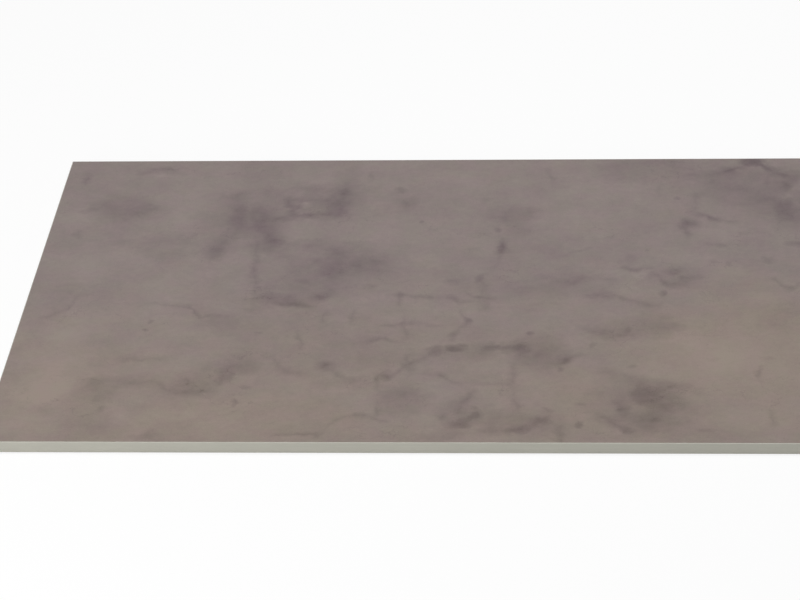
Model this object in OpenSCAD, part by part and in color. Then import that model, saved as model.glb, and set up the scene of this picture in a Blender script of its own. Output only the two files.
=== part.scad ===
// Kitchen splashback panel: a laminate-faced board with an edging strip on each of its four edges.
// It lies on its back, face up. Once on the wall, Y points up, Z points into the room and X runs
// along the worktop. The origin is the middle of the back face.

/* [Panel] */
// Length along the worktop
panel_length = 2000; // [600:50:3000]
// Height between the worktop and the wall units
panel_height = 600; // [300:10:1200]
// Thickness of the finished board
panel_thickness = 12; // [8:1:20]

/* [Laminate] */
// Thickness of the stone-effect laminate on the face
face_laminate_thickness = 0.7; // [0.5:0.1:1.2]
// Thickness of the plain balancing laminate on the back
backing_laminate_thickness = 0.7; // [0.5:0.1:1.2]

/* [Edging] */
// Thickness of the edging strip
strip_thickness = 1; // [0.6:0.1:2]
// Radius that the trimming cutter leaves along every arris of the edging
arris_radius = 1; // [0.2:0.1:2]

/* [Hidden] */
$fn = 48;

// The board inside its edging
board_length = panel_length - 2 * strip_thickness;
board_height = panel_height - 2 * strip_thickness;
core_thickness = panel_thickness - face_laminate_thickness - backing_laminate_thickness;

// The cutter rounds the edging only, so its radius ends where the laminate starts
arris = min(arris_radius, strip_thickness);

face_colour = [0.53, 0.49, 0.475];
strip_colour = [0.68, 0.67, 0.63];
backing_colour = [0.62, 0.55, 0.46];
core_colour = [0.76, 0.63, 0.46];

// Rectangle centred on the origin with round corners
module rounded_rectangle(width, height, radius) {
    square([width - 2 * radius, height], center = true);
    square([width, height - 2 * radius], center = true);
    for (x = [-1, 1], y = [-1, 1])
        translate([x * (width / 2 - radius), y * (height / 2 - radius)])
            circle(r = radius);
}

// Flat layer of the board, as wide and long as the board inside its edging
module board_layer(bottom, thickness) {
    translate([-board_length / 2, -board_height / 2, bottom])
        cube([board_length, board_height, thickness]);
}

// Outside of the whole panel, with every arris and upright corner trimmed to the cutter's radius
module trimmed_outside() {
    intersection() {
        linear_extrude(height = panel_thickness)
            rounded_rectangle(panel_length, panel_height, arris);
        translate([-panel_length / 2, 0, panel_thickness / 2])
            rotate([90, 0, 90])
                linear_extrude(height = panel_length)
                    rounded_rectangle(panel_height, panel_thickness, arris);
        translate([0, panel_height / 2, panel_thickness / 2])
            rotate([90, 0, 0])
                linear_extrude(height = panel_height)
                    rounded_rectangle(panel_length, panel_thickness, arris);
    }
}

// Strip on a long edge: it runs the full length and covers the ends of the short strips.
// side is -1 for the lower edge and 1 for the upper edge.
module long_strip(side) {
    color(strip_colour)
        intersection() {
            trimmed_outside();
            translate([0, side * (panel_height - strip_thickness) / 2, panel_thickness / 2])
                cube([panel_length, strip_thickness, panel_thickness], center = true);
        }
}

// Strip on an end, between the two long strips. side is -1 for the left end and 1 for the right.
module end_strip(side) {
    color(strip_colour)
        intersection() {
            trimmed_outside();
            translate([side * (panel_length - strip_thickness) / 2, 0, panel_thickness / 2])
                cube([strip_thickness, board_height, panel_thickness], center = true);
        }
}

module core_board() {
    color(core_colour)
        board_layer(backing_laminate_thickness, core_thickness);
}

module face_laminate() {
    color(face_colour)
        board_layer(backing_laminate_thickness + core_thickness, face_laminate_thickness);
}

module backing_laminate() {
    color(backing_colour)
        board_layer(0, backing_laminate_thickness);
}

module lower_edge_strip() {
    long_strip(-1);
}

module upper_edge_strip() {
    long_strip(1);
}

module left_edge_strip() {
    end_strip(-1);
}

module right_edge_strip() {
    end_strip(1);
}

core_board();
face_laminate();
backing_laminate();
lower_edge_strip();
upper_edge_strip();
left_edge_strip();
right_edge_strip();
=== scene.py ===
"""Kitchen splashback panel: a stone-effect laminate board with pale edging, lying face up on a floor."""
from math import radians

import bmesh
import bpy
from mathutils import Matrix, Vector


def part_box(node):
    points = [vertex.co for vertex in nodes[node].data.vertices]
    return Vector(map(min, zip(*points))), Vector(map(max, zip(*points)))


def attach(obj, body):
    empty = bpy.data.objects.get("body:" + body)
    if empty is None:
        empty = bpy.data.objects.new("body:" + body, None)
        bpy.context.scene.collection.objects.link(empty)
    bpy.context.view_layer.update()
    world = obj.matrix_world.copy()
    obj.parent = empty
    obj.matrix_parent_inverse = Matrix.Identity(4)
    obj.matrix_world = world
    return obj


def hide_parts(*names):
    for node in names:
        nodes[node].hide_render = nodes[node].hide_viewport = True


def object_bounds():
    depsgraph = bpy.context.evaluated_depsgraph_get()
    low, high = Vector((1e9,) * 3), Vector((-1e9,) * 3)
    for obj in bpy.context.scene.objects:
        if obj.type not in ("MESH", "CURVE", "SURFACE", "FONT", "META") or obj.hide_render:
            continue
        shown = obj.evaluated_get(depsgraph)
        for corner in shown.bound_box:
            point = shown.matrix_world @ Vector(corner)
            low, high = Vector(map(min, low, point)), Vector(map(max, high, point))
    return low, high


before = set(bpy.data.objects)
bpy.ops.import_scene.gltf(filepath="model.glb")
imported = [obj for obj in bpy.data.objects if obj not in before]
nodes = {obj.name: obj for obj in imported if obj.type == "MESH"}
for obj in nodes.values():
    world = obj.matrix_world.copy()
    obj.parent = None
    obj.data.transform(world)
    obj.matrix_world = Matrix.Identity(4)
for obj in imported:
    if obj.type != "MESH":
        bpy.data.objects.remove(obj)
cad_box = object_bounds()
panel_low, panel_high = cad_box
face_low, face_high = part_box("face_laminate")
MM = 0.001


# Camera, with its place in metres and its angles in degrees

LENS_MM = 191.33
SENSOR_MM = 36
NEAREST_SEEN = 0.05
FURTHEST_SEEN = 200
CAMERA_PLACE = (-0.179, -3.8174, 2.1287)
CAMERA_TURN = 6.472
CAMERA_TILT_DOWN = 28.95
CAMERA_ROLL = -3.21


def make_camera():
    """Camera at the photograph's viewing angle: turned left, tilted down and rolled a little."""
    camera = bpy.data.objects.new("camera", bpy.data.cameras.new("camera"))
    camera.data.lens = LENS_MM
    camera.data.sensor_width = SENSOR_MM
    camera.data.clip_start = NEAREST_SEEN
    camera.data.clip_end = FURTHEST_SEEN
    turn = Matrix.Rotation(radians(CAMERA_TURN), 4, "Z")
    tilt = Matrix.Rotation(radians(90 - CAMERA_TILT_DOWN), 4, "X")
    roll = Matrix.Rotation(radians(CAMERA_ROLL), 4, "Z")
    camera.matrix_world = Matrix.Translation(CAMERA_PLACE) @ turn @ tilt @ roll
    bpy.context.scene.collection.objects.link(camera)
    bpy.context.scene.camera = camera


# Shader node helpers

# The values between which a noise node mostly stays
NOISE_SPREAD = (0.3, 0.7)


def srgb(red, green, blue):
    """Linear colour with full alpha, from the 0 to 255 values that a picture shows."""
    def linear(level):
        level /= 255
        return level / 12.92 if level <= 0.04045 else ((level + 0.055) / 1.055) ** 2.4
    return (linear(red), linear(green), linear(blue), 1.0)


def add_node(tree, kind, inputs=None, **settings):
    """Adds a shader node. inputs maps a socket's name or number to a value or to another node's output."""
    node = tree.nodes.new("ShaderNode" + kind)
    for name, value in settings.items():
        setattr(node, name, value)
    for name, value in (inputs or {}).items():
        if isinstance(value, bpy.types.NodeSocket):
            tree.links.new(value, node.inputs[name])
        else:
            node.inputs[name].default_value = value
    return node


def maths(tree, operation, first, second=0.0, third=0.0):
    return add_node(tree, "Math", {0: first, 1: second, 2: third}, operation=operation).outputs[0]


def vector_maths(tree, operation, first, second):
    return add_node(tree, "VectorMath", {0: first, 1: second}, operation=operation).outputs[0]


def noise(tree, point, size, detail=2.0, roughness=0.5):
    """Noise node whose largest lumps are about size millimetres across."""
    return add_node(tree, "TexNoise", {
        "Vector": point, "Scale": 1 / size, "Detail": detail, "Roughness": roughness,
    })


def ramp(tree, value, low, high, to_low=0.0, to_high=1.0):
    """Smooth step from to_low to to_high while value goes from low to high."""
    return add_node(tree, "MapRange", {
        "Value": value, "From Min": low, "From Max": high, "To Min": to_low, "To Max": to_high,
    }, interpolation_type="SMOOTHSTEP").outputs[0]


def blend_colours(tree, factor, first, second, blend_type="MIX"):
    mix = add_node(tree, "Mix", {0: factor, 6: first, 7: second}, data_type="RGBA", blend_type=blend_type)
    return mix.outputs[2]


def point_in_mm(tree, keep=(1, 1, 1)):
    """Place on the panel in millimetres, from its origin. keep drops the axes that it has 0 for."""
    place = add_node(tree, "TexCoord").outputs["Object"]
    return vector_maths(tree, "MULTIPLY", place, [k / MM for k in keep])


def ragged(tree, point, place, size, reach, detail):
    """A place pushed about by noise with lumps of size mm, by up to half of reach mm to each side."""
    push = noise(tree, point, size, detail, 0.6).outputs["Color"]
    push = vector_maths(tree, "SUBTRACT", push, (0.5, 0.5, 0.5))
    return vector_maths(tree, "ADD", place, vector_maths(tree, "MULTIPLY", push, (reach, reach, 0)))


def new_material(name):
    """Empty node material, and its node tree with a Principled shader."""
    material = bpy.data.materials.new(name)
    material.use_nodes = True
    return material, material.node_tree, material.node_tree.nodes["Principled BSDF"]


def bump(tree, shader, height, strength, distance_mm):
    made = add_node(tree, "Bump", {"Height": height, "Strength": strength, "Distance": distance_mm * MM})
    tree.links.new(made.outputs[0], shader.inputs["Normal"])


def give(objects, material):
    for thing in objects:
        thing.data.materials.clear()
        thing.data.materials.append(material)


# Decor of the face, in millimetres from the middle of the panel. It starts at the left end, and again after
# each turn of the print roller.

DECOR_START = -1000
DECOR_REPEAT = 1190

# Ink of the stone between the marks, the ink that marks laid over each other come near, and what the
# deepest marks add to that, from 0 in the palest stone to 1 in the darkest. The deep ink starts where those
# marks add up to the first value of DEEP_BORDER, and is full where they add up to the second.

BARE_STONE = 0.205
FULL_INK = 0.55
DEEP_INK = 0.13
DEEP_BORDER = (0.2, 0.7)

# How far a vein's soft border reaches, in half widths, the length over which its ends fade, and the least
# room between two veins that one set of curves draws.

VEIN_SPREAD = 2.4
VEIN_FADE = 14
VEIN_GAP = 2

# How noise frays the marks: (size of its lumps, reach of its push, detail).

CLOUD_PUSH = (50, 50, 4)
SMUDGE_PUSH = (22, 22, 4)
VEIN_PUSH = (20, 14, 3)
TINT_PUSH = (70, 120, 5)
LARGEST_PUSH = TINT_PUSH[1] / 2

# How much noise of the first two sizes thins and thickens the marks.

MOTTLE_SIZE = 34
FRAY_SIZE = 13
CLOUD_STRENGTHS = (0.6, 1.7)
SMUDGE_STRENGTHS = (0.5, 1.6)
VEIN_STRENGTHS = (0.7, 1.1)

# How the ink drifts all over the stone: (size of the lumps, depth, detail).

INK_DRIFTS = [(110, 0.36, 2), (30, 0.36, 4), (7, 0.26, 3)]

# What shows only from close by.

FLECK_SIZE = 1.8
DARK_FLECK_INK = 0.16
PALE_FLECK_INK = 0.12
CRACK_SIZE = 45
CRACKED_PATCH_SIZE = 80
CRACK_INK = 0.2

# Marks of ink, which are soft ovals: (x, y, half length, half width, turn in degrees, density). A density
# of 1 is the ink of the darkest stone, before it is fitted under FULL_INK.

CLOUDS = [
    # Left end
    (-928, 187, 44, 42, 0, 0.30), (-910, 172, 22, 22, 0, 0.10), (-850, 118, 46, 26, 0, 0.20),
    (-862, 82, 36, 20, 0, 0.14), (-902, -198, 30, 38, 0, 0.24), (-866, -188, 30, 16, 0, 0.12),
    (-945, -5, 50, 26, 0, 0.14), (-898, -270, 30, 40, 0, 0.14), (-815, -272, 26, 30, 0, 0.12),
    # Tall knot
    (-808, 170, 34, 62, 0, 0.24), (-775, 150, 34, 62, 0, 0.34), (-755, 222, 48, 34, 0, 0.30),
    (-700, 205, 44, 56, 0, 0.36), (-692, 270, 20, 50, 0, 0.12), (-785, 275, 40, 36, 0, 0.12),
    (-815, 95, 26, 34, 0, 0.24), (-760, 105, 34, 26, 0, 0.26), (-735, 98, 60, 22, 0, 0.22),
    (-622, 205, 24, 36, 0, 0.18),
    # Dark cloud below it
    (-690, 50, 92, 72, 0, 0.31), (-650, 66, 46, 32, 0, 0.16), (-735, 5, 50, 30, 0, 0.16),
    (-728, -16, 48, 20, 0, 0.34), (-690, 10, 40, 34, 0, 0.14),
    # Middle
    (-506, 162, 28, 54, 0, 0.22), (-490, 176, 24, 24, 0, 0.16), (-450, 20, 70, 40, 0, 0.19),
    (-475, -8, 44, 34, 0, 0.20), (-790, -65, 34, 30, 0, 0.16), (-690, -70, 44, 24, 0, 0.14),
    (-594, -215, 34, 44, 0, 0.36), (-460, -120, 34, 50, 0, 0.42), (-530, -254, 40, 42, 0, 0.38),
    (-465, -264, 56, 34, 0, 0.30), (-372, -74, 62, 30, 0, 0.18), (-352, -45, 38, 36, 0, 0.16),
    (-770, -158, 34, 32, 0, 0.22), (-808, -192, 42, 26, 0, 0.26), (-650, -188, 44, 18, 0, 0.16),
    (-540, -126, 60, 22, 0, 0.10), (-660, -105, 190, 90, 0, 0.12), (-560, 15, 90, 60, 0, 0.08),
    (-460, 85, 60, 50, 0, 0.08), (-545, -290, 60, 16, 0, 0.16), (-832, -291, 24, 12, 0, 0.20),
    # Right
    (-265, 250, 90, 60, 0, 0.36), (-375, 280, 60, 40, 0, 0.34), (-240, 208, 34, 34, 0, 0.20),
    (-208, 185, 44, 60, 0, 0.36), (-328, 30, 44, 34, 0, 0.26), (-352, -222, 66, 62, 0, 0.44),
    (-345, -260, 40, 32, 0, 0.20), (-332, -208, 28, 36, 0, 0.30), (-372, -176, 34, 14, -30, 0.20),
    (-218, -40, 36, 40, 0, 0.18), (-250, 110, 34, 30, 0, 0.10), (-270, -290, 70, 18, 0, 0.08),
    (-340, 288, 40, 24, 0, 0.14), (-250, 85, 90, 50, 0, 0.06),
    # Middle of the panel
    (-130, 140, 70, 50, 0, 0.30), (-60, -40, 60, 70, 0, 0.34), (-20, 220, 44, 40, 0, 0.24),
    (70, 80, 80, 50, 0, 0.30), (110, -160, 60, 60, 0, 0.38), (-120, -230, 60, 40, 0, 0.28),
    (150, 230, 50, 50, 0, 0.26), (30, -270, 60, 30, 0, 0.22),
]

SMUDGES = [
    # Left end
    (-965, 183, 16, 8, 0, 0.25), (-912, 175, 14, 10, 0, 0.20), (-897, 190, 11, 10, -20, 0.30),
    (-968, 130, 9, 14, 0, 0.22), (-920, 112, 15, 14, 0, 0.15), (-835, -286, 12, 10, 0, 0.40),
    (-890, -210, 16, 20, 0, 0.20), (-945, -238, 20, 12, -40, 0.12),
    # Tall knot
    (-798, 163, 14, 36, 0, 0.40), (-776, 162, 12, 34, 8, 0.35), (-755, 118, 13, 18, 10, 0.50),
    (-815, 94, 14, 24, -15, 0.35), (-748, 197, 10, 9, 0, 0.50), (-693, 220, 11, 14, 0, 0.60),
    (-694, 190, 16, 32, 0, 0.45), (-630, 227, 11, 9, 0, 0.45), (-620, 198, 11, 22, 0, 0.24),
    # Dark cloud below it
    (-686, 87, 18, 16, 0, 0.40), (-688, 48, 17, 22, 10, 0.50), (-663, 60, 14, 28, -20, 0.45),
    (-640, 68, 24, 16, 0, 0.14), (-705, 70, 9, 8, 0, 0.30), (-715, 22, 10, 7, 0, 0.40),
    (-684, 6, 12, 22, 0, 0.24), (-645, 12, 10, 10, 0, 0.24), (-694, -8, 13, 12, 0, 0.60),
    (-765, -35, 16, 9, 0, 0.20), (-738, -13, 30, 11, 0, 0.50), (-720, -22, 24, 10, 0, 0.50),
    # Middle
    (-537, 202, 7, 11, 0, 0.20), (-488, 178, 14, 14, 0, 0.24), (-512, 165, 16, 20, 0, 0.16),
    (-558, 24, 13, 10, 30, 0.30), (-375, 74, 11, 14, 0, 0.20), (-390, -83, 26, 11, 0, 0.12),
    (-430, 25, 16, 13, 0, 0.16), (-455, 30, 26, 16, 0, 0.16),
    # Arch
    (-773, -169, 12, 22, 0, 0.70), (-752, -156, 16, 18, 0, 0.26), (-674, -151, 16, 13, -20, 0.50),
    (-806, -194, 28, 14, 0, 0.30), (-862, -188, 20, 12, 0, 0.20), (-610, -170, 11, 13, 0, 0.40),
    (-595, -208, 22, 18, 0, 0.24),
    # Low middle
    (-566, -122, 11, 13, 0, 0.90), (-545, -115, 14, 10, 0, 0.90), (-434, -137, 11, 15, 0, 0.70),
    (-531, -265, 16, 14, 0, 0.90), (-517, -247, 10, 17, 0, 0.80), (-549, -251, 9, 11, 0, 0.50),
    (-452, -258, 15, 13, 0, 0.80), (-470, -273, 15, 10, 10, 0.80), (-478, -121, 9, 16, 0, 0.60),
    # Right
    (-254, 293, 18, 14, 0, 0.90), (-296, 246, 10, 10, 0, 0.20), (-262, 226, 20, 14, 0, 0.20),
    (-240, 206, 18, 18, 25, 0.20), (-218, 183, 14, 32, 0, 0.60), (-205, 172, 20, 26, 0, 0.44),
    (-317, 148, 16, 18, 20, 0.50), (-206, 104, 16, 10, 0, 0.60), (-233, 70, 10, 9, 0, 0.36),
    (-206, 247, 17, 10, 0, 0.60), (-218, 236, 11, 17, 0, 0.90), (-350, -60, 24, 28, 0, 0.10),
    (-330, -73, 17, 12, 0, 0.22), (-350, -209, 22, 22, 0, 0.90), (-331, -200, 18, 20, 0, 0.44),
    (-326, -230, 16, 14, 0, 0.40), (-343, -257, 18, 24, -10, 0.44), (-374, -231, 10, 18, 30, 0.80),
    (-330, 45, 15, 14, 0, 0.50), (-314, 31, 18, 10, 0, 0.40), (-212, -35, 18, 18, 0, 0.14),
    # Middle of the panel
    (-140, 130, 20, 14, 0, 0.30), (-60, -20, 16, 24, 0, 0.50), (-45, -60, 14, 12, 0, 0.40),
    (60, 90, 18, 14, 0, 0.40), (85, 70, 12, 10, 0, 0.40), (112, -170, 22, 18, 0, 0.60),
    (130, -150, 12, 20, 0, 0.40), (-115, -235, 18, 12, 0, 0.40), (150, 220, 12, 22, 0, 0.40),
    (20, 215, 14, 10, 0, 0.30), (-150, -100, 14, 10, 0, 0.30),
]

SPECKS = [
    (-602, 156, 4, 5, 0, 0.60), (-332, 208, 6, 5, 0, 0.50), (-863, -60, 4, 4, 0, 0.50),
    (-866, -77, 5, 4, 0, 0.50), (-750, -84, 6, 4, 0, 0.30), (-748, -194, 7, 6, 0, 0.40),
    (-757, -223, 4, 9, 0, 0.60), (-472, -85, 5, 5, 0, 0.90), (-437, -158, 5, 6, 0, 0.60),
    (-446, -236, 9, 4, -30, 0.36), (-415, -226, 8, 5, 0, 0.30), (-414, -266, 6, 8, 0, 0.80),
    (-408, -107, 4, 8, 0, 0.36), (-366, -153, 8, 5, 0, 0.36), (-285, -138, 7, 5, 0, 0.20),
    (-233, -134, 9, 5, 0, 0.24), (-290, -276, 14, 5, 0, 0.26), (-274, 62, 5, 7, 0, 0.30),
    (-290, 66, 6, 6, 0, 0.26), (-400, 120, 7, 5, 0, 0.20), (-890, -235, 5, 9, 0, 0.36),
    (-519, 137, 6, 8, 0, 0.60), (-515, -12, 6, 6, 0, 0.36), (-340, -2, 5, 10, 0, 0.80),
    (-374, -80, 5, 11, 0, 0.60), (-537, -58, 5, 6, 0, 0.60), (-424, 33, 7, 7, 0, 0.20),
    (-310, -256, 6, 9, 0, 0.20), (-367, -277, 9, 9, 0, 0.50), (-532, 30, 7, 10, 0, 0.50),
    # Middle of the panel
    (-80, 60, 4, 5, 0, 0.50), (30, 10, 5, 4, 0, 0.40), (60, -90, 4, 6, 0, 0.50),
    (-20, -180, 5, 4, 0, 0.40), (160, 40, 4, 5, 0, 0.40), (-160, 250, 5, 5, 0, 0.40),
    (100, 160, 4, 4, 0, 0.40), (-100, -150, 4, 8, 0, 0.40),
]

# Where the ink lies deepest, with firmer borders. The densities only say how wide the deep ink reaches.

DEEP_MARKS = [
    (-349, -210, 26, 25, 0, 1.0), (-342, -254, 14, 18, -10, 0.6), (-375, -232, 9, 16, 30, 0.6),
    (-256, 291, 20, 13, 0, 1.0), (-239, 277, 18, 6, -50, 0.9), (-277, 273, 18, 6, 31, 0.8),
    (-221, 262, 16, 5, -22, 0.8), (-433, -136, 9, 15, -10, 0.6), (-523, -256, 13, 9, 45, 0.9),
    (-218, 240, 9, 18, 0, 0.7), (-511, 95, 7, 20, 0, 1.0), (-318, 148, 15, 16, 0, 0.6),
    (-330, 42, 14, 12, 0, 0.6), (-529, -267, 16, 13, 0, 1.2), (-518, -245, 9, 16, 10, 0.7),
    (-495, -114, 28, 8, 0, 0.8), (-480, -118, 9, 13, 0, 0.8), (-546, -116, 16, 11, 0, 0.8),
    (-452, -259, 14, 11, 0, 0.7), (-472, -273, 14, 10, 0, 0.6), (-674, -150, 13, 12, 0, 0.8),
    (-609, -172, 11, 12, 0, 0.7), (-720, -22, 22, 8, 0, 0.8), (-745, -11, 20, 7, 0, 0.6),
    (-694, -8, 13, 11, 0, 0.8), (-755, 116, 13, 14, 0, 0.6), (-693, 221, 9, 13, 0, 0.6),
    (-694, 190, 12, 24, 0, 0.5), (-730, 171, 24, 7, 0, 0.7),
    # Middle of the panel
    (-60, -22, 12, 16, 0, 0.7), (112, -168, 16, 13, 0, 0.8), (62, 88, 12, 10, 0, 0.7),
]

# Where the stone is paler: the densities are taken off the ink.

PALE_PATCHES = [
    (-945, -85, 40, 50, 0, 0.26), (-950, -160, 46, 80, 0, 0.28), (-955, -205, 30, 26, 0, 0.20),
    (-845, 22, 60, 44, 0, 0.14), (-950, 65, 80, 50, 0, 0.16), (-865, 185, 22, 70, 0, 0.12),
    (-727, 190, 12, 8, 0, 0.26), (-900, 262, 14, 12, 0, 0.22), (-650, 130, 60, 30, 0, 0.06),
    (-820, -250, 80, 34, 0, 0.14), (-520, -150, 50, 24, 0, 0.12), (-330, 27, 6, 5, 0, 0.20),
    (-435, 232, 50, 44, 0, 0.14), (-270, -140, 100, 90, 0, 0.16), (-265, 40, 60, 30, 0, 0.08),
    (-358, -236, 16, 9, 0, 0.16), (-215, 212, 14, 8, 0, 0.20), (-367, 38, 10, 8, 0, 0.25),
    (-870, -250, 16, 20, 0, 0.14), (-30, 90, 70, 60, 0, 0.16), (30, -190, 60, 40, 0, 0.14),
    (-110, -120, 50, 40, 0, 0.14), (150, -205, 70, 44, 0, 0.14), (172, -85, 44, 34, 0, 0.12),
    (-970, -265, 60, 50, 0, 0.08), (-240, -250, 90, 60, 0, 0.08), (-240, -30, 70, 50, 0, 0.06),
]

# Where the stone's tint turns to beige, or where the last number is negative, to mauve.

WARM_PATCHES = [
    (-250, -90, 150, 170, 0, 0.9), (-760, -260, 150, 70, 0, 0.4), (-950, -160, 70, 120, 0, 0.3),
    (-560, -210, 90, 110, 0, -0.5), (-700, 60, 90, 120, 0, -0.3), (-420, -200, 60, 80, 0, 0.2),
]

# Veins that run along the panel: (half width, [(x, y, density), ...]).

VEINS_ALONG = [
    # The long one that meanders over the lower half
    (7, [(-912, -179, 0.2), (-880, -183, 0.2), (-860, -189, 0.3), (-846, -181, 0.3), (-838, -186, 0.4),
         (-830, -199, 0.5), (-820, -205, 0.6), (-800, -206, 0.6), (-785, -203, 0.4)]),
    (9, [(-776, -183, 0.5), (-773, -157, 0.4), (-766, -149, 0.3), (-759, -141, 0.16), (-749, -136, 0.12),
         (-737, -134, 0.14), (-729, -137, 0.3), (-722, -148, 0.3), (-716, -158, 0.3), (-707, -164, 0.3),
         (-697, -166, 0.4)]),
    (7, [(-668, -158, 0.3), (-660, -168, 0.4), (-650, -176, 0.3), (-641, -179, 0.5)]),
    (6, [(-612, -176, 0.3), (-606, -171, 0.5), (-597, -160, 0.5), (-590, -148, 0.4), (-580, -139, 0.5),
         (-571, -128, 0.4), (-562, -120, 0.4), (-548, -114, 0.5), (-537, -116, 0.4)]),
    (8, [(-514, -116, 0.8), (-505, -115, 0.9), (-492, -114, 0.9), (-480, -114, 1.2)]),
    (5, [(-436, -146, 0.4), (-430, -136, 0.4), (-423, -129, 0.3)]),
    # Dark streaks under the cloud
    (8, [(-762, -12, 0.4), (-750, -9, 0.4), (-738, -11, 0.4), (-728, -13, 0.3)]),
    (8, [(-732, -22, 0.3), (-722, -24, 0.5), (-710, -25, 0.4), (-702, -30, 0.2)]),
    # Fine cracks in the middle
    (4, [(-614, -5, 0.6), (-604, -6, 0.2), (-594, -7, 0.5), (-582, -8, 0.6), (-575, -10, 0.1),
         (-568, -10, 0.1), (-563, -10, 0.6), (-554, -12, 0.6), (-547, -22, 0.5)]),
    (4, [(-541, -4, 0.3), (-536, -9, 0.5), (-528, -11, 0.6)]),
    (4, [(-618, -70, 0.4), (-606, -67, 0.4), (-596, -66, 0.4), (-584, -67, 0.2), (-570, -69, 0.4)]),
    (4, [(-635, -103, 0.3), (-629, -97, 0.5), (-620, -94, 0.5), (-612, -102, 0.4)]),
    (4, [(-524, -185, 0.2), (-510, -186, 0.4), (-496, -185, 0.3)]),
    (4, [(-570, -167, 0.2), (-558, -169, 0.5), (-550, -174, 0.4), (-544, -183, 0.3)]),
    # Left end
    (4, [(-868, -22, 0.2), (-850, -25, 0.3), (-836, -27, 0.4), (-827, -31, 0.5), (-820, -42, 0.6),
         (-813, -50, 0.6), (-804, -48, 0.4), (-794, -47, 0.4)]),
    (6, [(-878, -137, 0.3), (-862, -138, 0.4), (-848, -135, 0.3)]),
    (7, [(-975, -50, 0.2), (-965, -44, 0.3), (-955, -36, 0.3), (-950, -18, 0.3), (-947, -2, 0.2)]),
    (6, [(-915, 270, 0.3), (-908, 277, 0.4), (-898, 281, 0.5), (-888, 280, 0.5), (-882, 273, 0.3)]),
    # Tall knot
    (7, [(-757, 165, 0.6), (-748, 168, 0.8), (-736, 170, 1.0), (-723, 172, 1.0), (-711, 173, 0.7)]),
    (6, [(-748, 205, 0.3), (-735, 207, 0.4), (-722, 206, 0.4), (-707, 206, 0.5)]),
    # Along the lower edge
    (4, [(-704, -286, 0.4), (-685, -285, 0.4), (-667, -285, 0.4), (-661, -276, 0.1), (-658, -262, 0.2),
         (-648, -252, 0.3), (-634, -247, 0.6), (-620, -251, 0.5), (-609, -258, 0.5)]),
    (6, [(-502, -280, 0.3), (-490, -277, 0.5), (-480, -277, 0.5), (-470, -270, 0.4)]),
    (7, [(-393, -247, 0.6), (-386, -256, 0.6), (-378, -266, 0.6), (-370, -275, 0.5), (-362, -279, 0.4)]),
    # Right
    (8, [(-388, -162, 0.4), (-376, -168, 0.2), (-364, -176, 0.2), (-352, -186, 0.3)]),
    (6, [(-415, -77, 0.3), (-400, -84, 0.4), (-386, -88, 0.4), (-372, -88, 0.4)]),
    (6, [(-418, -5, 0.5), (-408, -8, 0.7), (-398, -8, 0.5), (-388, -6, 0.3), (-376, -14, 0.4),
         (-364, -21, 0.4), (-350, -28, 0.4)]),
    (5, [(-442, 22, 0.2), (-430, 22, 0.3), (-422, 30, 0.3), (-410, 32, 0.2), (-398, 28, 0.3)]),
    (8, [(-318, 260, 0.3), (-304, 259, 0.2), (-292, 264, 0.8), (-280, 268, 1.0), (-270, 273, 1.0),
         (-262, 282, 1.2), (-252, 291, 1.2), (-244, 286, 1.4), (-238, 275, 1.4), (-230, 266, 1.2),
         (-217, 260, 1.2), (-207, 259, 1.0)]),
    (5, [(-292, 105, 0.3), (-278, 103, 0.3)]),
    (3, [(-446, 80, 0.3), (-436, 88, 0.3), (-420, 96, 0.2)]),
    (4, [(-382, 53, 0.4), (-374, 48, 0.6), (-367, 46, 0.7), (-361, 52, 0.4)]),
    (5, [(-226, 30, 0.3), (-220, 16, 0.5), (-212, 7, 0.6), (-205, 10, 0.5), (-199, 22, 0.3)]),
    (6, [(-347, 38, 0.5), (-343, 22, 0.7), (-335, 15, 0.6), (-325, 16, 0.5)]),
    (5, [(-304, 170, 0.7), (-297, 162, 0.8), (-288, 157, 0.5), (-276, 155, 0.4)]),
    # Middle of the panel
    (6, [(-185, 22, 0.3), (-165, 10, 0.4), (-140, 14, 0.3), (-118, -2, 0.5), (-96, -14, 0.5),
         (-74, -6, 0.4), (-55, -20, 0.6)]),
    (5, [(-40, -82, 0.5), (-15, -96, 0.4), (10, -92, 0.4), (38, -108, 0.5), (64, -128, 0.5),
         (92, -150, 0.6)]),
    (4, [(10, 222, 0.4), (32, 210, 0.5), (50, 214, 0.3), (72, 200, 0.4)]),
    (5, [(-150, -236, 0.4), (-128, -228, 0.6), (-104, -240, 0.5), (-84, -252, 0.3)]),
]

# Veins that run across the panel: (half width, [(y, x, density), ...]).

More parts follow.
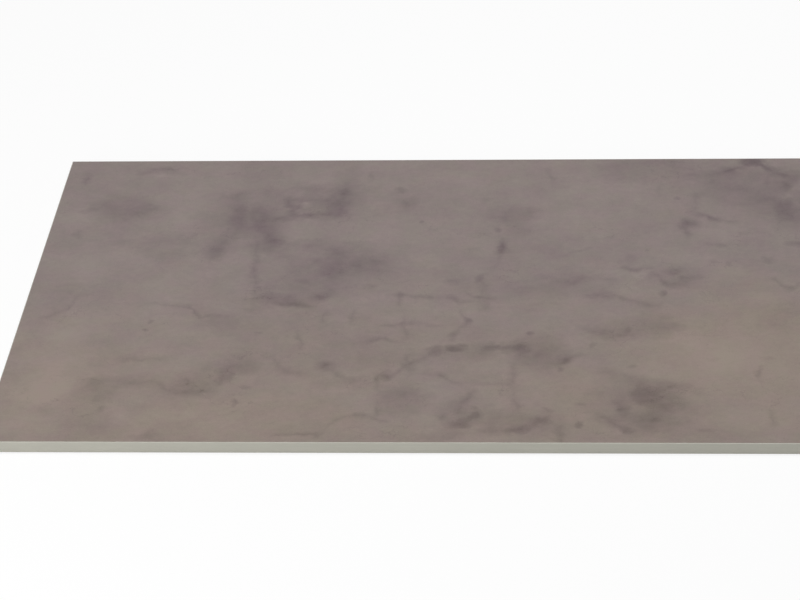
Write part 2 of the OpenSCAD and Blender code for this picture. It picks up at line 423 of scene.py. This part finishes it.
VEINS_ACROSS = [
    # Tall knot
    (10, [(220, -806, 0.4), (205, -804, 0.3), (188, -802, 0.4), (165, -799, 0.5), (148, -797, 0.4),
          (130, -801, 0.3), (112, -807, 0.4), (95, -813, 0.4), (80, -817, 0.3)]),
    (9, [(188, -780, 0.3), (170, -776, 0.5), (152, -772, 0.5), (138, -765, 0.5), (124, -759, 0.6),
         (110, -753, 0.5), (98, -757, 0.2)]),
    (4, [(202, -735, 0.6), (192, -738, 0.7), (183, -741, 0.6)]),
    (5, [(203, -752, 0.5), (194, -747, 0.6), (185, -742, 0.5)]),
    (9, [(242, -692, 0.2), (226, -691, 0.7), (210, -693, 0.5),
         (190, -694, 0.4), (172, -692, 0.3)]),
    (4, [(105, -773, 0.3), (90, -772, 0.4), (65, -770, 0.5), (40, -768, 0.6), (26, -766, 0.5),
         (8, -761, 0.3)]),
    # Left end
    (3, [(268, -979, 0.3), (260, -978, 0.6), (252, -977, 0.5)]),
    # Middle
    (3, [(262, -666, 0.2), (256, -663, 0.2)]),
    (3, [(272, -473, 0.2), (262, -471, 0.3), (252, -469, 0.2)]),
    (5, [(108, -512, 0.8), (98, -511, 1.3), (88, -511, 1.2), (80, -512, 0.3), (66, -515, 0.2),
         (52, -519, 0.2), (44, -524, 0.1), (36, -533, 0.3), (26, -530, 0.4), (15, -527, 0.3),
         (4, -526, 0.1), (-18, -521, 0.1), (-30, -521, 0.3)]),
    (3, [(-42, -546, 0.3), (-52, -541, 0.5), (-60, -537, 0.6), (-68, -538, 0.4), (-78, -545, 0.3),
         (-86, -549, 0.6), (-94, -551, 0.4)]),
    (3, [(-60, -603, 0.4), (-72, -601, 0.5), (-84, -597, 0.4)]),
    (3, [(-8, -611, 0.4), (-20, -610, 0.4)]),
    (3, [(-86, -709, 0.5), (-96, -707, 0.5), (-108, -703, 0.5)]),
    (3, [(-44, -685, 0.3), (-55, -687, 0.4)]),
    (3, [(-45, -655, 0.3), (-55, -655, 0.4)]),
    (4, [(-138, -594, 0.5), (-148, -590, 0.6), (-158, -588, 0.5)]),
    # Low middle
    (4, [(-158, -484, 0.5), (-170, -484, 0.5), (-190, -484, 0.1), (-210, -482, 0.2), (-224, -479, 0.5),
         (-232, -474, 0.5)]),
    (5, [(-204, -522, 0.5), (-214, -524, 0.4), (-224, -531, 0.5), (-236, -533, 0.5), (-246, -530, 0.4)]),
    (3, [(-228, -615, 0.4), (-240, -614, 0.4)]),
    (3, [(-178, -620, 0.4), (-188, -617, 0.5)]),
    (4, [(-272, -434, 0.4), (-284, -431, 0.6), (-295, -429, 0.6)]),
    # Right
    (5, [(210, -313, 0.4), (198, -314, 0.3), (180, -315, 0.2)]),
    (5, [(152, -322, 0.4), (138, -325, 0.5), (126, -319, 0.5)]),
    (8, [(202, -223, 0.5), (190, -222, 0.6), (176, -219, 0.5), (166, -212, 0.4)]),
    (4, [(256, -236, 0.4), (244, -236, 0.4)]),
    (3, [(234, -352, 0.2), (224, -352, 0.2)]),
    (3, [(-160, -240, 0.5), (-170, -240, 0.4)]),
    (4, [(-248, -226, 0.3), (-262, -226, 0.4)]),
    # Middle of the panel
    (5, [(185, 58, 0.4), (160, 66, 0.5), (135, 60, 0.4), (112, 68, 0.6)]),
    (4, [(40, 130, 0.4), (15, 138, 0.5), (-10, 132, 0.4), (-35, 142, 0.4)]),
    (4, [(270, -150, 0.4), (245, -143, 0.5), (222, -148, 0.3)]),
]

# Colours of the palest and the darkest stone, first where it is mauve and then where it is beige. The
# beige comes in from one height on the panel down to another, and in patches.

COOL_PALE = srgb(134, 122, 117)
COOL_DARK = srgb(84, 68, 73)
WARM_PALE = srgb(140, 126, 116)
WARM_DARK = srgb(86, 73, 67)
WARMTH_FROM = 110
WARMTH_TO = -260
LOWER_WARMTH = 0.8
WARMTH_DRIFT = 0.8
WARMTH_DRIFT_SIZE = 40
PINKER = (1.01, 0.982, 1.01, 1.0)
GREENER = (0.99, 1.018, 0.99, 1.0)
HUE_DRIFT_SIZE = 26
GLUE_LINE = srgb(84, 70, 60)
GLUE_LINE_WIDTH = 0.2
FACE_GRAIN_SIZE = 0.5
FACE_ROUGHNESS = (0.44, 0.56)
FACE_SPECULAR = 0.3


def print_point(tree, point):
    """The same point in the printed decor, which starts again after each turn of the print roller."""
    x, y, z = add_node(tree, "SeparateXYZ", {0: point}).outputs
    x = maths(tree, "WRAP", x, DECOR_START + DECOR_REPEAT, DECOR_START)
    return add_node(tree, "CombineXYZ", {0: x, 1: y, 2: z}).outputs[0]


def with_repeats(marks):
    """The marks, with copies of those that reach over the joint between two prints of the decor."""
    for mark in marks:
        reach = max(mark[2], mark[3]) + LARGEST_PUSH
        yield mark
        if mark[0] - reach < DECOR_START:
            yield (mark[0] + DECOR_REPEAT, *mark[1:])
        if mark[0] + reach > DECOR_START + DECOR_REPEAT:
            yield (mark[0] - DECOR_REPEAT, *mark[1:])


def lay_marks(tree, point, marks, total=0.0):
    """Lays the marks over the ink that is there, and returns the ink's density."""
    for x, y, half_length, half_width, turn, density in with_repeats(marks):
        mark = add_node(tree, "TexGradient", {"Vector": point}, gradient_type="SPHERICAL")
        mark.texture_mapping.vector_type = "TEXTURE"
        mark.texture_mapping.translation = (x, y, 0)
        mark.texture_mapping.rotation = (0, 0, radians(turn))
        mark.texture_mapping.scale = (half_length, half_width, 1)
        total = maths(tree, "MULTIPLY_ADD", mark.outputs["Fac"], density, total)
    return total


def courses(veins):
    """Strings together veins that don't lie side by side, so that one set of curves draws many of them."""
    strings = []
    for half_width, points in sorted(veins, key=lambda vein: min(p[0] for p in vein[1])):
        points = [(along, across, density, half_width) for along, across, density in sorted(points)]
        start, end = points[0], points[-1]
        points.insert(0, (start[0] - VEIN_FADE, start[1], 0, half_width))
        points.append((end[0] + VEIN_FADE, end[1], 0, half_width))
        free = [string for string in strings if string[-1][0] < points[0][0] - VEIN_GAP]
        if free:
            free[0].extend(points)
        else:
            strings.append(points)
    return strings


def curve(tree, value, points):
    """Value looked up on a line through the points."""
    node = add_node(tree, "FloatCurve", {"Value": value})
    node.mapping.use_clip = False
    node.mapping.extend = "HORIZONTAL"
    line = node.mapping.curves[0].points
    line[0].location = points[0]
    line[1].location = points[-1]
    for place in points[1:-1]:
        line.new(*place)
    for point in line:
        point.handle_type = "VECTOR"
    node.mapping.update()
    return node.outputs[0]


def lay_veins(tree, along, across, veins, body, total):
    """Lays the veins over the ink that is there, and returns the ink's density. body, about 1, frays them."""
    for string in courses(veins):
        middle = curve(tree, along, [(p[0], p[1]) for p in string])
        density = curve(tree, along, [(p[0], p[2]) for p in string])
        narrowness = curve(tree, along, [(p[0], 1 / (VEIN_SPREAD * p[3])) for p in string])
        away = maths(tree, "ABSOLUTE", maths(tree, "SUBTRACT", across, middle))
        away = maths(tree, "MULTIPLY", away, narrowness)
        falloff = add_node(tree, "Math", {0: body, 1: away}, operation="SUBTRACT", use_clamp=True).outputs[0]
        falloff = maths(tree, "MULTIPLY", falloff, falloff)
        total = maths(tree, "MULTIPLY_ADD", falloff, density, total)
    return total


def stone_shade(tree, point):
    """Ink of the stone decor at a point, from 0 in the palest stone to 1 in the darkest."""
    print_place = print_point(tree, point)
    wide = ragged(tree, point, print_place, *CLOUD_PUSH)
    close = ragged(tree, point, print_place, *SMUDGE_PUSH)
    fine = ragged(tree, point, print_place, *VEIN_PUSH)
    mottle = noise(tree, point, MOTTLE_SIZE, 5, 0.6).outputs["Fac"]
    fray = noise(tree, point, FRAY_SIZE, 4, 0.6).outputs["Fac"]
    clouds = lay_marks(tree, wide, CLOUDS)
    clouds = maths(tree, "MULTIPLY", clouds, ramp(tree, mottle, *NOISE_SPREAD, *CLOUD_STRENGTHS))
    smudges = lay_marks(tree, close, SMUDGES)
    smudges = maths(tree, "MULTIPLY", smudges, ramp(tree, fray, *NOISE_SPREAD, *SMUDGE_STRENGTHS))
    lines = lay_marks(tree, fine, SPECKS)
    body = ramp(tree, fray, *NOISE_SPREAD, *VEIN_STRENGTHS)
    fine_x, fine_y, _ = add_node(tree, "SeparateXYZ", {0: fine}).outputs
    lines = lay_veins(tree, fine_x, fine_y, VEINS_ALONG, body, lines)
    lines = lay_veins(tree, fine_y, fine_x, VEINS_ACROSS, body, lines)
    pale = lay_marks(tree, wide, PALE_PATCHES)
    ink = maths(tree, "ADD", maths(tree, "ADD", clouds, smudges), lines)
    left_bare = maths(tree, "EXPONENT", maths(tree, "MULTIPLY", ink, -1 / FULL_INK))
    ink = maths(tree, "MULTIPLY", maths(tree, "SUBTRACT", 1.0, left_bare), FULL_INK)
    deep = ramp(tree, lay_marks(tree, close, DEEP_MARKS), *DEEP_BORDER, 0.0, DEEP_INK)
    ink = maths(tree, "SUBTRACT", maths(tree, "ADD", ink, deep), pale)
    for size, depth, detail in INK_DRIFTS:
        drift = maths(tree, "SUBTRACT", noise(tree, point, size, detail).outputs["Fac"], 0.5)
        ink = maths(tree, "MULTIPLY_ADD", drift, depth, ink)
    return maths(tree, "ADD", maths(tree, "ADD", ink, BARE_STONE), mineral_detail(tree, point))


def mineral_detail(tree, point):
    """Ink of what shows only from close by: dark and pale flecks of a millimetre or so, and hair cracks."""
    crumbs = noise(tree, point, FLECK_SIZE, 3, 0.6).outputs["Fac"]
    dark = ramp(tree, crumbs, 0.56, 0.7, 0.0, DARK_FLECK_INK)
    pale = ramp(tree, crumbs, 0.44, 0.3, 0.0, PALE_FLECK_INK)
    lumps = noise(tree, point, CRACK_SIZE, 5).outputs["Fac"]
    away = maths(tree, "ABSOLUTE", maths(tree, "SUBTRACT", lumps, 0.5))
    where = ramp(tree, noise(tree, point, CRACKED_PATCH_SIZE, 2).outputs["Fac"], 0.5, 0.62, 0.0, CRACK_INK)
    cracks = maths(tree, "MULTIPLY", ramp(tree, away, 0.006, 0.001), where)
    return maths(tree, "ADD", maths(tree, "SUBTRACT", dark, pale), cracks)


def stone_warmth(tree, point):
    """How far the stone's tint turns from mauve, at 0, to beige, at 1."""
    place = ragged(tree, point, print_point(tree, point), *TINT_PUSH)
    height = add_node(tree, "SeparateXYZ", {0: place}).outputs[1]
    lower = ramp(tree, height, WARMTH_FROM, WARMTH_TO, 0.0, LOWER_WARMTH)
    warmth = lay_marks(tree, place, WARM_PATCHES, lower)
    drift = maths(tree, "SUBTRACT", noise(tree, point, WARMTH_DRIFT_SIZE, 3).outputs["Fac"], 0.5)
    warmth = maths(tree, "MULTIPLY_ADD", drift, WARMTH_DRIFT, warmth)
    return add_node(tree, "Clamp", {0: warmth}).outputs[0]


def drifting_hue(tree, point, colour):
    """The colour, turned a little pinker or greener from place to place, as the press's inks drift."""
    drift = ramp(tree, noise(tree, point, HUE_DRIFT_SIZE, 3).outputs["Fac"], 0.35, 0.65)
    tint = blend_colours(tree, drift, PINKER, GREENER)
    return blend_colours(tree, 1.0, colour, tint, "MULTIPLY")


def glue_line(tree, point):
    """1 on the hairline of glue and bare laminate that shows where the face meets its edging, otherwise 0."""
    x, y, _ = add_node(tree, "SeparateXYZ", {0: point}).outputs
    half_length, half_height = (size / 2 / MM for size in (face_high - face_low).xy)
    past_end = maths(tree, "SUBTRACT", maths(tree, "ABSOLUTE", x), half_length)
    past_side = maths(tree, "SUBTRACT", maths(tree, "ABSOLUTE", y), half_height)
    return ramp(tree, maths(tree, "MAXIMUM", past_end, past_side), -GLUE_LINE_WIDTH, -GLUE_LINE_WIDTH / 2)


def face_material():
    """Stone-effect decor under a soft matt surface."""
    material, tree, shader = new_material("stone_effect_laminate")
    point = point_in_mm(tree, keep=(1, 1, 0))
    shade = stone_shade(tree, point)
    warmth = stone_warmth(tree, point)
    pale = blend_colours(tree, warmth, COOL_PALE, WARM_PALE)
    dark = blend_colours(tree, warmth, COOL_DARK, WARM_DARK)
    colour = drifting_hue(tree, point, blend_colours(tree, shade, pale, dark))
    colour = blend_colours(tree, glue_line(tree, point), colour, GLUE_LINE)
    tree.links.new(colour, shader.inputs["Base Color"])
    shader.inputs["Specular IOR Level"].default_value = FACE_SPECULAR
    grain = noise(tree, point, FACE_GRAIN_SIZE, 3, 0.6).outputs["Fac"]
    tree.links.new(ramp(tree, grain, 0.2, 0.8, *FACE_ROUGHNESS), shader.inputs["Roughness"])
    bump(tree, shader, grain, 0.15, 0.05)
    return material


# Edging

ARRIS_SEGMENTS = 8
SHARP_ANGLE = 40
# In metres: vertices nearer to a cut than this lie on it
SAME_PLACE = 1e-7


def rounded_block(low, high, radius):
    """bmesh block with every edge rounded."""
    mesh = bmesh.new()
    bmesh.ops.create_cube(mesh, size=1)
    size = high - low
    centre = (low + high) / 2
    for vertex in mesh.verts:
        vertex.co = Vector([centre[i] + vertex.co[i] * size[i] for i in range(3)])
    bmesh.ops.bevel(mesh, geom=mesh.edges[:], offset=radius, segments=ARRIS_SEGMENTS, profile=0.5,
                    affect="EDGES")
    return mesh


def cut_away(mesh, place, outward):
    """Cuts the mesh at a plane, drops what lies outward of it and closes the cut."""
    everything = mesh.verts[:] + mesh.edges[:] + mesh.faces[:]
    made = bmesh.ops.bisect_plane(mesh, geom=everything, dist=SAME_PLACE, plane_co=place, plane_no=outward,
                                  clear_outer=True)
    rim = [part for part in made["geom_cut"] if isinstance(part, bmesh.types.BMEdge)]
    bmesh.ops.contextual_create(mesh, geom=rim)


def make_strip(name, node):
    """Edging strip with truly round arrises, cut from a rounded block of the whole panel."""
    low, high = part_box(node)
    thickness = min(high - low)
    mesh = rounded_block(panel_low, panel_high, thickness)
    for axis in (0, 1):
        for corner, side in ((low, -1), (high, 1)):
            # The strip is cut where its side isn't the panel's own
            if abs(corner[axis]) < panel_high[axis] - thickness / 2:
                outward = Vector((0, 0, 0))
                outward[axis] = side
                cut_away(mesh, corner, outward)
    for face in mesh.faces:
        face.smooth = True
    data = bpy.data.meshes.new(name)
    mesh.to_mesh(data)
    mesh.free()
    data.set_sharp_from_angle(angle=radians(SHARP_ANGLE))
    strip = bpy.data.objects.new(name, data)
    bpy.context.scene.collection.objects.link(strip)
    strip.modifiers.new("even_shading", "WEIGHTED_NORMAL").keep_sharp = True
    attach(strip, "root")
    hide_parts(node)
    return strip


def stretched(tree, point, sizes):
    """The point measured in lumps of the given sizes in mm, for noise that is drawn out along an axis."""
    return vector_maths(tree, "MULTIPLY", point, [1 / size for size in sizes])


# Plain materials: their colours, the sizes of their noise in mm, some along x, y and z, and their roughness

EDGING_DARKER = srgb(171, 169, 158)
EDGING_PALER = srgb(180, 178, 167)
EDGING_DRAW_LINE = srgb(150, 148, 138)
EDGING_PIT = srgb(205, 204, 196)
EDGING_TONE_SIZE = 40
DRAW_LINE_SIZES = (60, 60, 0.4)
PIT_SIZE = 1.2
EDGING_ROUGHNESS = (0.36, 0.48)

SHEET_DARKER = srgb(152, 134, 111)
SHEET_PALER = srgb(163, 145, 122)
SHEET_FIBRE = srgb(118, 99, 78)
SHEET_SANDED = srgb(190, 174, 150)
SHEET_TONE_SIZE = 35
FIBRE_SIZES = (6, 1.2, 1)
SANDING_SIZES = (90, 0.35, 1)
SHEET_ROUGHNESS = (0.6, 0.78)

CHIP_DARKER = srgb(166, 132, 92)
CHIP_PALER = srgb(221, 194, 150)
RESIN = srgb(112, 84, 56)
CHIP_SIZES = (4, 2.2, 0.7)
CORE_ROUGHNESS = (0.75, 0.92)


def edging_material():
    """Plain pale plastic edging, satin, with faint draw lines along it and a few pale pits."""
    material, tree, shader = new_material("pale_edging")
    point = point_in_mm(tree)
    tone = noise(tree, point, EDGING_TONE_SIZE, 3).outputs["Fac"]
    colour = blend_colours(tree, tone, EDGING_DARKER, EDGING_PALER)
    draw_lines = noise(tree, stretched(tree, point, DRAW_LINE_SIZES), 1, 3, 0.6).outputs["Fac"]
    colour = blend_colours(tree, ramp(tree, draw_lines, 0.35, 0.75, 0.0, 0.25), colour, EDGING_DRAW_LINE)
    pits = ramp(tree, noise(tree, point, PIT_SIZE, 2).outputs["Fac"], 0.68, 0.76)
    colour = blend_colours(tree, maths(tree, "MULTIPLY", pits, 0.3), colour, EDGING_PIT)
    tree.links.new(colour, shader.inputs["Base Color"])
    tree.links.new(ramp(tree, draw_lines, *NOISE_SPREAD, *EDGING_ROUGHNESS), shader.inputs["Roughness"])
    bump(tree, shader, draw_lines, 0.25, 0.03)
    return material


def backing_material():
    """Brown balancing sheet: sanded paper and resin, with fibres and fine sanding lines along the panel."""
    material, tree, shader = new_material("balancing_sheet")
    point = point_in_mm(tree)
    tone = noise(tree, point, SHEET_TONE_SIZE, 4, 0.6).outputs["Fac"]
    colour = blend_colours(tree, ramp(tree, tone, *NOISE_SPREAD), SHEET_DARKER, SHEET_PALER)
    fibres = noise(tree, stretched(tree, point, FIBRE_SIZES), 1, 4, 0.65).outputs["Fac"]
    colour = blend_colours(tree, ramp(tree, fibres, 0.5, 0.75, 0.0, 0.5), colour, SHEET_FIBRE)
    sanding = noise(tree, stretched(tree, point, SANDING_SIZES), 1, 2, 0.6).outputs["Fac"]
    colour = blend_colours(tree, ramp(tree, sanding, 0.5, 0.8, 0.0, 0.35), colour, SHEET_SANDED)
    tree.links.new(colour, shader.inputs["Base Color"])
    tree.links.new(ramp(tree, sanding, *NOISE_SPREAD, *SHEET_ROUGHNESS), shader.inputs["Roughness"])
    bump(tree, shader, maths(tree, "ADD", sanding, fibres), 0.3, 0.04)
    return material


def core_material():
    """Pressed wood particles: pale and dark chips that lie flat, with resin between them."""
    material, tree, shader = new_material("particle_board")
    point = stretched(tree, point_in_mm(tree), CHIP_SIZES)
    chips = add_node(tree, "TexVoronoi", {"Vector": point, "Scale": 1.0, "Randomness": 1.0})
    shade = add_node(tree, "SeparateColor", {0: chips.outputs["Color"]}).outputs[0]
    colour = blend_colours(tree, shade, CHIP_DARKER, CHIP_PALER)
    gap = ramp(tree, chips.outputs["Distance"], 0.45, 0.8)
    colour = blend_colours(tree, maths(tree, "MULTIPLY", gap, 0.6), colour, RESIN)
    tree.links.new(colour, shader.inputs["Base Color"])
    tree.links.new(ramp(tree, shade, 0, 1, *CORE_ROUGHNESS), shader.inputs["Roughness"])
    bump(tree, shader, chips.outputs["Distance"], 0.5, 0.1)
    return material


# Floor, background and light, in metres and watts

FLOOR_SIZE = 120
FLOOR_GAP = 0.0002
FLOOR_PAPER = srgb(250, 250, 250)
FLOOR_GLOW = 0.8
STUDIO_LEVEL = 0.3

# (name, place, what it aims at, width, height, power)
SOFTBOXES = [
    ("overhead_softbox", (-0.5, 0.2, 3.0), (-0.4, 0, 0), 2.4, 1.8, 62),
    ("low_fill", (-1.6, -1.4, 0.4), (-0.75, -0.3, 0), 0.9, 0.5, 9),
]


def seen_directly(tree):
    """1 for rays from the camera or off a glossy or clear surface, otherwise 0."""
    path = add_node(tree, "LightPath").outputs
    seen = maths(tree, "MAXIMUM", path["Is Camera Ray"], path["Is Glossy Ray"])
    return maths(tree, "MAXIMUM", seen, path["Is Transmission Ray"])


def make_floor():
    """White floor that keeps the panel's shadow, only fainter than it would be on paper."""
    data = bpy.data.meshes.new("floor")
    half = FLOOR_SIZE / 2
    data.from_pydata([(-half, -half, 0), (half, -half, 0), (half, half, 0), (-half, half, 0)], [],
                     [(0, 1, 2, 3)])
    floor = bpy.data.objects.new("floor", data)
    floor.location.z = panel_low.z - FLOOR_GAP
    bpy.context.scene.collection.objects.link(floor)
    material, tree, shader = new_material("white_floor")
    tree.nodes.remove(shader)
    paper = add_node(tree, "BsdfDiffuse", {"Color": FLOOR_PAPER}).outputs[0]
    glow = add_node(tree, "Emission", {"Color": (1, 1, 1, 1), "Strength": 1.0}).outputs[0]
    share = maths(tree, "MULTIPLY", seen_directly(tree), FLOOR_GLOW)
    mixed = add_node(tree, "MixShader", {0: share, 1: paper, 2: glow}).outputs[0]
    tree.links.new(mixed, tree.nodes["Material Output"].inputs["Surface"])
    give([floor], material)


def make_world():
    """Even studio light, white where it is seen directly."""
    world = bpy.data.worlds.new("studio")
    bpy.context.scene.world = world
    world.use_nodes = True
    tree = world.node_tree
    strength = ramp(tree, seen_directly(tree), 0, 1, STUDIO_LEVEL, 1.0)
    tree.links.new(strength, tree.nodes["Background"].inputs["Strength"])
    tree.nodes["Background"].inputs["Color"].default_value = (1, 1, 1, 1)


def make_softbox(name, place, aim, width, height, watts):
    lamp = bpy.data.lights.new(name, "AREA")
    lamp.shape = "RECTANGLE"
    lamp.size = width
    lamp.size_y = height
    lamp.energy = watts
    softbox = bpy.data.objects.new(name, lamp)
    softbox.location = place
    softbox.rotation_euler = (Vector(aim) - Vector(place)).to_track_quat("-Z", "Y").to_euler()
    bpy.context.scene.collection.objects.link(softbox)


# The scene

make_camera()
give([nodes["face_laminate"]], face_material())
give([nodes["backing_laminate"]], backing_material())
give([nodes["core_board"]], core_material())
strips = [
    make_strip(side + "_edging", side + "_edge_strip") for side in ("lower", "upper", "left", "right")
]
give(strips, edging_material())
make_floor()
make_world()
for softbox in SOFTBOXES:
    make_softbox(*softbox)
bpy.context.scene.view_settings.view_transform = "Standard"
